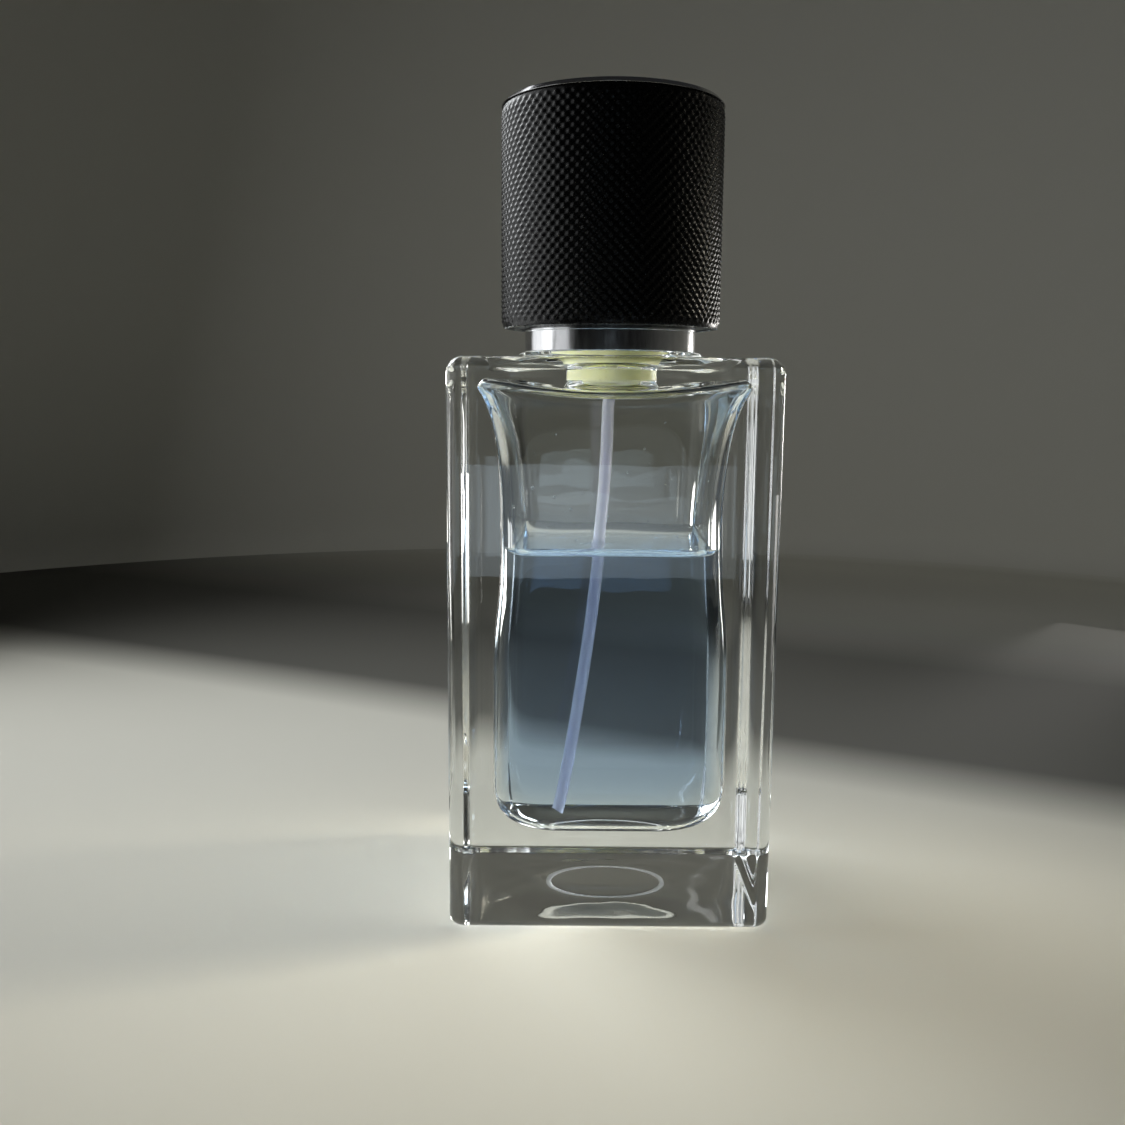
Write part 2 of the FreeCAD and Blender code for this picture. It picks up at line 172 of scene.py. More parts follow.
class Shader:
    """A short way to build one Principled material with procedural detail."""

    def __init__(self, name, **values):
        self.mat = bpy.data.materials.new(name)
        self.mat.use_nodes = True
        self.tree = self.mat.node_tree
        self.body = self.tree.nodes["Principled BSDF"]
        self.out = self.tree.nodes["Material Output"]
        self.coords = self.tree.nodes.new("ShaderNodeNewGeometry").outputs["Position"]
        for key, value in values.items():
            self.body.inputs[key.replace("_", " ").title().replace("Ior", "IOR")].default_value = value

    def noise(self, scale, detail, stretch=(1, 1, 1)):
        """Noise over the surface; scale counts features per metre."""
        mapping = self.tree.nodes.new("ShaderNodeVectorMath")
        mapping.operation = "MULTIPLY"
        mapping.inputs[1].default_value = stretch
        self.tree.links.new(self.coords, mapping.inputs[0])
        node = self.tree.nodes.new("ShaderNodeTexNoise")
        node.inputs["Scale"].default_value = scale
        node.inputs["Detail"].default_value = detail
        node.inputs["Roughness"].default_value = 0.55
        self.tree.links.new(mapping.outputs[0], node.inputs["Vector"])
        return node.outputs["Fac"]

    def ramp(self, fac, stops):
        """Colour at each place along a value from 0 to 1."""
        node = self.tree.nodes.new("ShaderNodeValToRGB")
        elements = node.color_ramp.elements
        while len(elements) < len(stops):
            elements.new(0.5)
        for element, (place, value) in zip(elements, stops):
            element.position = place
            element.color = (*value, 1.0)
        self.tree.links.new(fac, node.inputs["Fac"])
        return node.outputs["Color"]

    def vary_roughness(self, fac, low, high):
        """Spreads the roughness over a range, from the middle half of a noise."""
        node = self.tree.nodes.new("ShaderNodeMapRange")
        node.inputs["From Min"].default_value = 0.25
        node.inputs["From Max"].default_value = 0.75
        node.inputs["To Min"].default_value = low
        node.inputs["To Max"].default_value = high
        self.tree.links.new(fac, node.inputs["Value"])
        self.tree.links.new(node.outputs["Result"], self.body.inputs["Roughness"])

    def bump(self, height, strength, distance):
        """Small relief from a value, with its distance in metres."""
        node = self.tree.nodes.new("ShaderNodeBump")
        node.inputs["Strength"].default_value = strength
        node.inputs["Distance"].default_value = distance
        self.tree.links.new(height, node.inputs["Height"])
        self.tree.links.new(node.outputs["Normal"], self.body.inputs["Normal"])

    def colour(self, value):
        """Base colour from a ramp."""
        self.tree.links.new(value, self.body.inputs["Base Color"])


GLASS_IOR, LIQUID_IOR = 1.50, 1.36
GLASS_TINT = (0.965, 0.985, 0.970)
LIQUID_COLOUR, LIQUID_DENSITY = (0.05, 0.40, 0.80, 1), 20.0  # density per metre


def clear_shader(name, ior, tint, roughness=0.0):
    """Clear body whose surface has the given index against what is outside it."""
    made = Shader(name, transmission_weight=1.0, roughness=roughness)
    made.body.inputs["IOR"].default_value = ior
    made.body.inputs["Base Color"].default_value = (*tint, 1)
    return made


def glass_dry():
    """Outside of the glass, with the faint waves that pressing leaves."""
    made = clear_shader("glass_dry", GLASS_IOR, GLASS_TINT)
    made.bump(made.noise(120, 1.0), 0.1, 0.0001)
    return made.mat


def glass_inner():
    """Dry inside of the glass, a little wavier."""
    made = clear_shader("glass_inner", GLASS_IOR, GLASS_TINT)
    made.bump(made.noise(150, 1.0), 0.12, 0.0002)
    return made.mat


def glass_wet():
    """Inside of the glass below the liquid's edge, which bends light as glass against liquid."""
    made = clear_shader("glass_wet", GLASS_IOR / LIQUID_IOR, GLASS_TINT)
    made.bump(made.noise(150, 1.0), 0.12, 0.0002)
    return made.mat


def glass_stippled():
    """Rough ridge in the dish of the base."""
    made = clear_shader("glass_stippled", GLASS_IOR, GLASS_TINT, 0.3)
    made.bump(made.noise(2600, 2.0), 0.8, 0.0002)
    return made.mat


def glass_contact():
    """Bore of the neck, which the wet plastic plug touches, so no bright reflection forms there."""
    return clear_shader("glass_contact", 1.0, GLASS_TINT).mat


def liquid_body():
    """Coloured liquid. The wet glass already bends the light, so its own sides don't."""
    made = clear_shader("liquid_body", 1.0, (1, 1, 1))
    absorb = made.tree.nodes.new("ShaderNodeVolumeAbsorption")
    absorb.inputs["Color"].default_value = LIQUID_COLOUR
    absorb.inputs["Density"].default_value = LIQUID_DENSITY
    made.tree.links.new(absorb.outputs["Volume"], made.out.inputs["Volume"])
    return made.mat


def liquid_top():
    """Open surface of the liquid, almost still."""
    made = clear_shader("liquid_top", LIQUID_IOR, (1, 1, 1))
    made.bump(made.noise(90, 1.0), 0.15, 0.0001)
    return made.mat


def droplet_water():
    """Liquid left in beads on the dry wall."""
    return clear_shader("droplets", LIQUID_IOR, (0.95, 0.97, 1.0)).mat


def tube_plastic():
    """Milky extruded tube: light passes, and its long draw lines show."""
    made = Shader("tube_plastic", roughness=0.12, transmission_weight=0.68)
    made.body.inputs["IOR"].default_value = 1.25
    streaks = made.noise(900, 2.0, stretch=(1, 1, 0.05))
    made.colour(made.ramp(streaks, [(0.3, (0.80, 0.81, 0.97)), (0.7, (0.92, 0.93, 1.0))]))
    made.bump(streaks, 0.2, 0.00008)
    return made.mat


def natural_plastic():
    """Uncoloured moulded polypropylene, slightly warm and milky."""
    made = Shader("natural_plastic", roughness=0.3, transmission_weight=0.05, subsurface_weight=0.9)
    made.body.inputs["Subsurface Radius"].default_value = (1.0, 1.0, 0.7)
    made.body.inputs["Subsurface Scale"].default_value = 0.004
    grain = made.noise(700, 3.0)
    made.colour(made.ramp(grain, [(0.3, (0.97, 0.98, 0.44)), (0.7, (0.99, 1.0, 0.54))]))
    made.vary_roughness(grain, 0.25, 0.4)
    made.bump(grain, 0.2, 0.00005)
    return made.mat


def white_plastic():
    """Moulded plastic of the stem, the piston and the button's inside."""
    made = Shader("white_plastic", roughness=0.4)
    grain = made.noise(1500, 3.0)
    made.colour(made.ramp(grain, [(0.3, (0.80, 0.80, 0.79)), (0.7, (0.87, 0.87, 0.86))]))
    made.vary_roughness(grain, 0.35, 0.5)
    made.bump(grain, 0.25, 0.00004)
    return made.mat


def seal_rubber():
    """Pale soft gasket."""
    made = Shader("seal_rubber", roughness=0.7)
    grain = made.noise(2500, 4.0)
    made.colour(made.ramp(grain, [(0.3, (0.55, 0.55, 0.53)), (0.7, (0.68, 0.68, 0.66))]))
    made.bump(grain, 0.5, 0.00005)
    return made.mat


def metal(name, low, high, rough, scale=2000, stretch=(1, 1, 1), bump=0.15):
    """Metal with machining lines or grain that vary its colour and roughness."""
    made = Shader(name, metallic=1.0)
    lines = made.noise(scale, 4.0, stretch=stretch)
    made.colour(made.ramp(lines, [(0.3, low), (0.7, high)]))
    made.vary_roughness(lines, rough[0], rough[1])
    made.bump(lines, bump, 0.00003)
    return made.mat


def knurled_black():
    """Satin black anodised metal, its tone and roughness varying a little at random."""
    made = Shader("knurled_black", roughness=0.3, specular_ior_level=0.2)
    grain = made.noise(3000, 3.0)
    made.colour(made.ramp(grain, [(0.3, (0.0020, 0.0021, 0.0023)), (0.7, (0.0042, 0.0043, 0.0046))]))
    made.vary_roughness(grain, 0.2, 0.34)
    made.bump(grain, 0.15, 0.00004)
    return made.mat


def cap_top_black():
    """Glossy black face of the cap's top."""
    made = Shader("cap_top_black", roughness=0.22)
    made.body.inputs["Coat Weight"].default_value = 0.5
    made.body.inputs["Coat Roughness"].default_value = 0.08
    grain = made.noise(1800, 4.0)
    made.colour(made.ramp(grain, [(0.3, (0.0022, 0.0022, 0.0025)), (0.7, (0.0045, 0.0045, 0.005))]))
    made.vary_roughness(grain, 0.2, 0.32)
    made.bump(grain, 0.15, 0.00003)
    return made.mat


def liner_black():
    """Dull black moulded liner of the cap."""
    made = Shader("liner_black", roughness=0.45)
    grain = made.noise(1200, 3.0)
    made.colour(made.ramp(grain, [(0.3, (0.014, 0.014, 0.015)), (0.7, (0.024, 0.024, 0.025))]))
    made.vary_roughness(grain, 0.4, 0.55)
    made.bump(grain, 0.25, 0.00005)
    return made.mat


M = {
    "dry": glass_dry(),
    "inner": glass_inner(),
    "wet": glass_wet(),
    "stipple": glass_stippled(),
    "contact": glass_contact(),
    "liquid_body": liquid_body(),
    "liquid_top": liquid_top(),
    "drops": droplet_water(),
    "tube": tube_plastic(),
    "natural": natural_plastic(),
    "white": white_plastic(),
    "rubber": seal_rubber(),
    "polished": metal(
        "polished_aluminium", (0.50, 0.50, 0.51), (0.60, 0.60, 0.61), (0.12, 0.24), 1500, (1, 1, 0.2), 0.1
    ),
    "satin": metal("satin_aluminium", (0.62, 0.62, 0.62), (0.74, 0.74, 0.74), (0.28, 0.42)),
    "steel": metal("bright_steel", (0.50, 0.50, 0.49), (0.62, 0.62, 0.61), (0.18, 0.3)),
    "knurl": knurled_black(),
    "cap_top": cap_top_black(),
    "bevel": metal(
        "turned_bevel", (0.22, 0.22, 0.225), (0.32, 0.32, 0.325), (0.10, 0.2), 2500, (1, 1, 0.1), 0.1
    ),
    "liner": liner_black(),
}


# ---- glass -----------------------------------------------------------------------------------------

# Heights and radii in mm. NECK_TOP and HALF, the half width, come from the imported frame.
glass_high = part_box("bottle_glass")[1]
HALF, NECK_TOP = glass_high.x / MM, glass_high.z / MM
SHOULDER = 88.0
CORNER, TOP_EDGE, BASE_EDGE = 2.6, 2.5, 1.4
DISH_HALF, DISH_DEPTH = 20.6, 0.9
STIPPLE_MIDDLE = 9.4
COLLAR_SEAT = SHOULDER + 1.2
BORE, NECK, BEAD = 7.2, 8.7, 9.9
BORE_FOOT = 83.4
CEILING_MIDDLE, CEILING_RISE = 82.9, 1.9  # over the middle of a side, and how much higher over a corner
RIM_ROUND = 1.2
CONTACT = 59.1  # height that the liquid climbs to on the wall
LEVEL = 57.6
WAIST = 59.0
FLARE_HEIGHT = 25.6  # from the waist to the ceiling
WAIST_HALF, BELLY_BULGE = 17.2, 1.2
INNER_CORNER = 5.0
FLOOR, FLOOR_ROUND = 12.6, 8.0


def quadrant_angles():
    """Polar angles of one quadrant's points, packed close round the corner."""
    flat = [43.0 * (1 - (1 - i / 13) ** 1.3) for i in range(13)]
    bend = [40.6 + 8.8 * i / 22 for i in range(23)]
    first = [a for a in flat if a < 40.2]
    return first + bend + [90 - a for a in reversed(first[1:])]


ANGLES = [math.radians(a + 90 * q) for q in range(4) for a in quadrant_angles()]


def square_radius(angle, half, corner):
    """Distance from the axis to a rounded square's edge along this direction."""
    turned = (angle + math.pi / 4) % (math.pi / 2) - math.pi / 4
    c, s = math.cos(turned), abs(math.sin(turned))
    if half * s / c <= half - corner:
        return half / c
    reach = half - corner
    along = reach * (c + s)
    return along + math.sqrt(max(0.0, along * along - 2 * reach * reach + corner * corner))


def ring_of(half, corner, z):
    """Ring of points on a rounded square; a corner as large as the half width makes a circle."""
    return ring_by(lambda angle: (half, corner, z))


def ring_by(shape):
    """Ring whose half width, corner radius and height depend on the direction."""
    points = []
    for a in ANGLES:
        half, corner, z = shape(a)
        r = square_radius(a, half, min(corner, half))
        points.append((r * math.cos(a) * MM, r * math.sin(a) * MM, z * MM))
    return points


def cornerness(angle):
    """0 in the middle of a side, 1 at a corner."""
    return math.sin(2 * angle) ** 2


def inner_half(z):
    """Half width of the inside at height z: belly, waist, then a flare up to the shoulder."""
    below_waist = min(1.0, max(0.0, (WAIST - z) / 20.0))
    belly = BELLY_BULGE * math.sin(math.pi / 2 * below_waist) ** 2
    above_waist = max(0.0, (z - WAIST) / FLARE_HEIGHT)
    return WAIST_HALF + belly + 3.0 * above_waist**3 + 1.3 * above_waist**10


def inner_corner(z):
    """Corner radius of the inside, tighter where the wall flares."""
    return INNER_CORNER - 3.2 * max(0.0, (z - WAIST) / FLARE_HEIGHT) ** 2


def ripple(angle, z):
    """Slow waves that pressing leaves on the inside of heavy glass, in mm."""
    swirl = math.sin(5 * angle + 0.21 * z) + math.sin(9 * angle - 0.34 * z + 1.0)
    swirl += math.sin(0.5 * z + 3 * angle)
    return 0.022 * swirl * (0.4 + 0.6 * cornerness(angle))


def inner_wall(angle, z, gap=0.0):
    """Half width, corner radius and height of the inside of the glass in one direction."""
    return inner_half(z) - gap + ripple(angle, z), inner_corner(z), z


def floor_rings(gap=0.0):
    """Rings of the inside from the centre of its floor out and up to the straight wall."""
    rings = []
    floor, belly = FLOOR + gap, WAIST_HALF + BELLY_BULGE - gap
    for half in (0.6, 1.5, 3.0, 5.0, 7.5, 9.3):
        rings.append((half, min(INNER_CORNER, 0.75 * half), floor))
    for a in even_steps(0, math.pi / 2, 16):
        half = belly - FLOOR_ROUND * (1 - math.sin(a))
        rings.append((half, min(INNER_CORNER, 0.55 * half), floor + FLOOR_ROUND * (1 - math.cos(a))))
    return rings


def wall_heights():
    """Levels from just under the liquid's edge down to where the floor starts to turn up."""
    return even_steps(CONTACT, FLOOR + FLOOR_ROUND + 0.9, 26)[1:]


def ceiling_height(angle):
    """The ceiling hangs lower over the middle of each side than over the corners."""
    side = abs((angle + math.pi / 4) % (math.pi / 2) - math.pi / 4)
    return CEILING_MIDDLE + CEILING_RISE * math.tan(side) ** 2


def dish_wave(angle, slope):
    """Uneven pressing of the dish under the base, strongest half way up its slope."""
    waves = math.sin(7 * angle + 5 * slope) + 0.7 * math.sin(12 * angle - 9 * slope + 1.0)
    waves += 0.6 * math.sin(18 * slope + 3 * angle)
    return 0.028 * waves * math.sin(math.pi * slope)


def base_rings():
    """Underside from its centre out: a wavy dish with a stippled ridge round it, then the flat rim."""
    rings = []
    halves = [0.8, 2.0, 4.0, 6.0, 8.0, 8.9, 9.1, 9.3, 9.5, 9.7, 9.9, *even_steps(11.0, 19.4, 7), DISH_HALF]
    for half in halves:
        slope = max(0.0, (half - 9.0) / (DISH_HALF - 9.0))
        depth = DISH_DEPTH * 0.5 * (1 + math.cos(math.pi * slope))
        depth -= 0.05 * (half / DISH_HALF) ** 2 * (1 - slope)
        depth -= 0.09 * math.cos(math.pi / 2 * min(1.0, abs(half - STIPPLE_MIDDLE) / 0.4))
        tag = "stipple" if abs(half - STIPPLE_MIDDLE) < 0.39 else "dry"
        rings.append((ring_by(lambda a: (half, half - 11.0 * slope, depth + dish_wave(a, slope))), tag))
    rings.append((ring_of(22.0, 7.0, 0.0), "dry"))
    rings.append((ring_of(HALF - BASE_EDGE - 0.3, CORNER - BASE_EDGE, 0.0), "dry"))
    return rings


def outer_rings():
    """Outside from the rounded foot up to the rounded shoulder and in over it to the collar's seat."""
    shapes = []
    for a in even_steps(0, math.pi / 2, 8):
        inset = BASE_EDGE * (1 - math.sin(a))
        shapes.append((HALF - inset, CORNER - inset, BASE_EDGE * (1 - math.cos(a))))
    shapes += [(HALF, CORNER, z) for z in (1.9, 4, 8, 14, 24, 34, 44, 54, 64, 74, 82, 85.0)]
    for a in even_steps(0, math.pi / 2, 10):
        inset = TOP_EDGE * (1 - math.cos(a))
        shapes.append((HALF - inset, max(0.1, CORNER - inset), SHOULDER - TOP_EDGE * (1 - math.sin(a))))
    shapes.append((HALF - TOP_EDGE - 0.4, 0.4, SHOULDER))
    shapes.append((19.6, 12.0, SHOULDER))
    return [(ring_of(*shape), "dry") for shape in shapes]


def neck_rings():
    """Collar's seat, neck and bead, over the lip and down the bore to its rounded foot."""
    seat = [(17.3, 0), (16.8, 0.05), (16.2, 0.18), (15.6, 0.42), (15.2, 0.72), (14.95, 1.0), (14.75, 1.14)]
    outline = [(r, SHOULDER + rise, "dry") for r, rise in seat]
    outline.append((14.5, COLLAR_SEAT, "dry"))
    stem = [(NECK + 0.5, 0), (NECK + 0.1, 0.2), (NECK, 0.6), (NECK, 2.7), (NECK + 0.3, 3.0)]
    outline += [(r, COLLAR_SEAT + rise, "dry") for r, rise in stem]
    bead = [(0.35, 3.4), (0.05, 3.0), (0, 2.6), (0, 0.8), (0.15, 0.35), (0.5, 0.08), (0.9, 0)]
    outline += [(BEAD - inset, NECK_TOP - drop, "dry") for inset, drop in bead]
    outline += [(BORE + 0.4, NECK_TOP, "dry"), (BORE + 0.1, NECK_TOP - 0.1, "dry")]
    outline += [(BORE, z, "contact") for z in (95.6, 94.0, 91.0, 88.5, 86.5, 85.2)]
    foot = [(0, 1.2), (0.05, 0.9), (0.25, 0.4), (0.7, 0.1), (1.4, 0)]
    outline += [(BORE + flare, BORE_FOOT + rise, "inner") for flare, rise in foot]
    return [(ring_of(r, r, z), tag) for r, z, tag in outline]


def ceiling_rings():
    """Ceiling from the bore's foot out, and the round where it turns down into the walls."""
    rings = []
    for half, corner, share in ((11.0, 10.0, 0.2), (13.5, 8.5, 0.5), (15.6, 6.5, 0.8)):
        rings.append(ring_by(lambda a: (half, corner, BORE_FOOT + (ceiling_height(a) - BORE_FOOT) * share)))
    for bend in even_steps(0, math.pi / 2, 8):

        def shape(a):
            rim = ceiling_height(a) - RIM_ROUND
            half = inner_half(rim) + ripple(a, rim) - RIM_ROUND * (1 - math.sin(bend))
            return half, inner_corner(rim), rim + RIM_ROUND * math.cos(bend)

        rings.append(ring_by(shape))
    return [(ring, "inner") for ring in rings]


def inside_rings():
    """Dry and wet walls down to the floor's centre. The wet part starts where the liquid touches."""
    rings = []
    for share in even_steps(0, 1, 24)[1:]:

        def shape(a):
            rim = ceiling_height(a) - RIM_ROUND
            return inner_wall(a, rim + (CONTACT - rim) * share)

        rings.append((ring_by(shape), "inner" if share < 1 else "wet"))
    rings += [(ring_by(lambda a: inner_wall(a, z)), "wet") for z in wall_heights()]
    rings += [(ring_of(*ring), "wet") for ring in reversed(floor_rings())]
    return rings


def bottle_glass_piece():
    """All of the glass as one closed skin, with a material for each zone."""
    tagged = base_rings() + outer_rings() + neck_rings() + ceiling_rings() + inside_rings()
    rings = [ring for ring, _ in tagged]
    verts, faces, owner = skin(rings, start=(0, 0, DISH_DEPTH * MM), end=(0, 0, FLOOR * MM))
    parts = ["dry", "inner", "wet", "stipple", "contact"]
    face_mats = [parts.index(tagged[k][1]) for k in owner]
    piece = new_object("glass_body", verts, faces, [M[part] for part in parts], face_mats)
    tidy(piece)
    shade_by_angle(piece, 50)
    piece.visible_shadow = False  # light reaches the pump and floor through it
    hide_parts("bottle_glass")
    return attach(piece, "bottle")


# ---- liquid ----------------------------------------------------------------------------------------

TUBE_R, TUBE_BORE_R = 1.0, 0.6
TUBE_AT_LEVEL = (-1.80, -1.40)  # where the dip tube crosses the surface
LIQUID_GAP = 0.02  # keeps the liquid's body off the glass and off its own surface


def meniscus(x, y, half):
    """Height of the surface at a point: flat, rising to the wall and to the dip tube."""
    wall = square_radius(math.atan2(y, x), half, INNER_CORNER) - math.hypot(x, y)
    tube = max(0.0, math.hypot(x - TUBE_AT_LEVEL[0], y - TUBE_AT_LEVEL[1]) - TUBE_R)
    climb = (CONTACT - LEVEL) * math.exp(-max(0.0, wall) / 0.9)
    return LEVEL + climb + 0.75 * math.exp(-tube / 0.55)


def surface_rings(half, drop=0.0):
    """Rings of the liquid's surface from the wall in to the axis, with its climb at the wall and the tube."""
    insets = (0.0, 0.12, 0.3, 0.55, 0.9, 1.4, 2.1, 3.2, 4.6, 6.4, 8.4, 10.4, 12.2, 13.4)
    rings = [ring_of(half - inset, INNER_CORNER, 0.0) for inset in insets]
    rings += [ring_of(reach, reach, 0.0) for reach in even_steps(3.4, 0.3, 14)]
    return [[(x, y, (meniscus(x / MM, y / MM, half) - drop) * MM) for x, y, _ in ring] for ring in rings]


def liquid_piece():
    """Body of the liquid, which only colours the light that crosses it."""
    rings = [ring_of(*ring) for ring in floor_rings(LIQUID_GAP)]
    rings += [ring_by(lambda a: inner_wall(a, z, LIQUID_GAP)) for z in reversed(wall_heights())]
    top_half = inner_half(CONTACT) - LIQUID_GAP
    rings += surface_rings(top_half, LIQUID_GAP)
    floor_z = (FLOOR + LIQUID_GAP) * MM
    centre_z = (meniscus(0.0, 0.0, top_half) - LIQUID_GAP) * MM
    verts, faces, _ = skin(rings, start=(0, 0, floor_z), end=(0, 0, centre_z))
    piece = new_object("aftershave", verts, faces, [M["liquid_body"]])
    tidy(piece)
    shade_by_angle(piece, 60)
    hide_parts("aftershave_fill")
    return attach(piece, "bottle")


def liquid_surface_piece():
    """Skin of the liquid, which is what bends and mirrors the light from above and from below."""
    top_half = inner_half(CONTACT) - LIQUID_GAP
    centre_z = meniscus(0.0, 0.0, top_half) * MM
    verts, faces, _ = skin(surface_rings(top_half), end=(0, 0, centre_z))
    piece = new_object("aftershave_surface", verts, faces, [M["liquid_top"]])
    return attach(piece, "bottle")


def droplet_place(n):
    """Foot and size of one droplet in mm, with the directions along the wall and into the bottle."""
    angle = 2 * math.pi * (0.618034 * n % 1.0)  # each share steps by a ratio that scatters points evenly
    z = CONTACT + 1.2 + 19.0 * (0.754878 * n % 1.0) ** 1.5
    size = 0.10 + 0.20 * (0.569840 * n % 1.0) ** 3
    half = inner_half(z) + ripple(angle, z)

    def on_wall(a):
        reach = square_radius(a, half, inner_corner(z)) - 0.02
        return Vector((math.cos(a) * reach, math.sin(a) * reach, z))

    foot = on_wall(angle)
    along = (on_wall(angle + 0.002) - foot).normalized()
    return foot, size, along, along.cross(Vector((0, 0, -1)))


def droplet_dome(n, sides=10, steps=4):
    """Low dome of one droplet with a flat foot on the wall."""
    foot, size, along, inward = droplet_place(n)
    up = Vector((0, 0, 1))
    rings = []
    for k in range(steps):
        lift = math.pi / 2 * k / steps
        centre = foot + inward * size * 0.5 * math.sin(lift)
        radius = size * math.cos(lift)
        around = [2 * math.pi * i / sides for i in range(sides)]
        rings.append([(centre + (along * math.cos(a) + up * math.sin(a)) * radius) * MM for a in around])
    verts, faces, _ = skin(rings, end=(foot + inward * size * 0.5) * MM)
    return verts, faces + [tuple(range(sides))]


def droplets_piece():
    """Small beads that stay on the dry part of the wall after the bottle was tipped."""
    verts, faces = [], []
    for n in range(90):
        dome_verts, dome_faces = droplet_dome(n)
        faces += [tuple(len(verts) + i for i in face) for face in dome_faces]
        verts += dome_verts
    piece = new_object("headspace_droplets", verts, faces, [M["drops"]])
    tidy(piece)
    shade_by_angle(piece, 60)
    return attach(piece, "bottle")


# ---- dip tube --------------------------------------------------------------------------------------

TUBE_TOP, SPIGOT_FOOT = 85.9, 82.2
TUBE_AIM = (-8.2, -6.4, 0)  # side that the tube leans to
TUBE_BENDS = [(60.0, 3.6, 4), (350.0, 10.8, 72)]  # radius in mm, turn in degrees and steps of each bend
SLANT = 1.1  # how much longer one side of the cut foot is


def tube_line():
    """Centre line of the tube in mm: straight in its spigot, then one easy bend after another."""
    aim = Vector(TUBE_AIM).normalized()
    down = Vector((0, 0, -1))
    points = [Vector((0, 0, z)) for z in (TUBE_TOP, 84.0, 82.4)]
    at, lean = Vector((0, 0, SPIGOT_FOOT)), 0.0
    for radius, turn, steps in TUBE_BENDS:
        for _ in range(steps):
            points.append(at)
            step = math.radians(turn) / steps
            middle = lean + step / 2
            at = at + (aim * math.sin(middle) + down * math.cos(middle)) * (radius * step)
            lean += step
    return points + [at]


def tube_ring(line, k, radius, sides=28):
    """Ring round the k-th point of the line, slanted at the last one."""
    ahead = (line[min(k + 1, len(line) - 1)] - line[max(k - 1, 0)]).normalized()
    side = ahead.cross(Vector((0, 1, 0))).normalized()
    other = ahead.cross(side).normalized()
    ring = []
    for i in range(sides):
        a = 2 * math.pi * i / sides
        offset = side * (radius * math.cos(a)) + other * (radius * math.sin(a))
        cut = SLANT * (1 - offset.x / TUBE_R) / 2 if k == len(line) - 1 else 0.0
        ring.append((line[k] + offset - ahead * cut) * MM)
    return ring


def dip_tube_piece():
    """Tube with a real bore, cut on a slant at its foot."""
    line = tube_line()
    outside = [tube_ring(line, k, TUBE_R) for k in range(len(line))]
    bore = [tube_ring(line, k, TUBE_BORE_R) for k in reversed(range(len(line)))]
    verts, faces, _ = skin(outside + bore + outside[:1])
    piece = new_object("dip_tube_clear", verts, faces, [M["tube"]])
    tidy(piece)
    shade_by_angle(piece, 50)
    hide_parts("dip_tube")
    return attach(piece, "bottle")


# ---- cap -------------------------------------------------------------------------------------------

sleeve_low, sleeve_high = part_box("cap_sleeve")
CAP_R = sleeve_high.x / MM
CAP_LOW, KNURL_TOP = sleeve_low.z / MM, sleeve_high.z / MM
KNURL_COLUMNS, KNURL_ROWS, KNURL_DEPTH = 70, 21, 0.34
STEPS_EACH = 6  # mesh steps over one column or row of the knurl


def knurl_radius(i, k, last):
    """Rounded points and pits in a diamond lattice, which fade out at both ends of the sleeve."""
    turn = 2 * math.pi / STEPS_EACH
    crest = 0.5 + 0.5 * math.cos(turn * i) * math.cos(turn * k)
    fade = min(1.0, k / 4, (last - k) / 4)
    return CAP_R - KNURL_DEPTH * (1 - fade * crest**1.3) - 0.02


def knurled_sleeve():
    """Sleeve of the cap with its diamond knurl as real relief, over a plain bore with a seat for the top."""
    columns, rows = KNURL_COLUMNS * STEPS_EACH, KNURL_ROWS * STEPS_EACH
    low, high = CAP_LOW + 0.25, KNURL_TOP - 0.15
    turn = 2 * math.pi / columns
    rings = []
    for k, z in enumerate(even_steps(low, high, rows)):
        radii = [knurl_radius(i, k, rows) * MM for i in range(columns)]
        rings.append([(r * math.cos(turn * i), r * math.sin(turn * i), z * MM) for i, r in enumerate(radii)])
    bore = CAP_R - 1.3
    inside = [
        (CAP_R - 0.42, KNURL_TOP - 0.03),
        (CAP_R - 0.5, KNURL_TOP),
        (CAP_R - 0.5, KNURL_TOP - 0.8),
        (bore, KNURL_TOP - 0.8),
        (bore, CAP_LOW + 0.15),
        (bore + 0.15, CAP_LOW),
        (CAP_R - 0.6, CAP_LOW),
        (CAP_R - 0.42, CAP_LOW + 0.08),
    ]
    rings += [circle(r, z, columns) for r, z in inside]
    verts, faces, _ = skin(rings + rings[:1])
    piece = new_object("knurled_sleeve", verts, faces, [M["knurl"]])
    tidy(piece)
    shade_by_angle(piece, 40)
    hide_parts("cap_sleeve")
    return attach(piece, "cap")


def cap_top_piece():
    """Disc with a bright turned bevel, a fine step inside it and a very shallow dished face."""
    low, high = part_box("cap_top_disc")
    radius, base, top = high.x / MM, low.z / MM, high.z / MM
    rim = KNURL_TOP
    bevel = top - rim - 0.06
    outline = [(0.001, base), (radius - 0.42, base), (radius - 0.42, rim - 0.02), (radius - 0.12, rim - 0.02)]
    outline += arc((radius - 0.1, rim + 0.06), 0.1, -90, 0, 4)
    outline += arc((radius - bevel - 0.06, top - 0.12), 0.12, 45, 90, 4)
    outline += [(radius - bevel - 0.5, top), (12.0, top - 0.02), (6.0, top - 0.03), (0.001, top - 0.03)]
    edge_mats = [0] * 3 + [1] * 10 + [0] * 5
    piece = lathe("cap_top", outline, [M["cap_top"], M["bevel"]], edge_mats, segments=192)
    shade_by_angle(piece, 30)
    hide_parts("cap_top_disc")
    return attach(piece, "cap")


# ---- springs ---------------------------------------------------------------------------------------


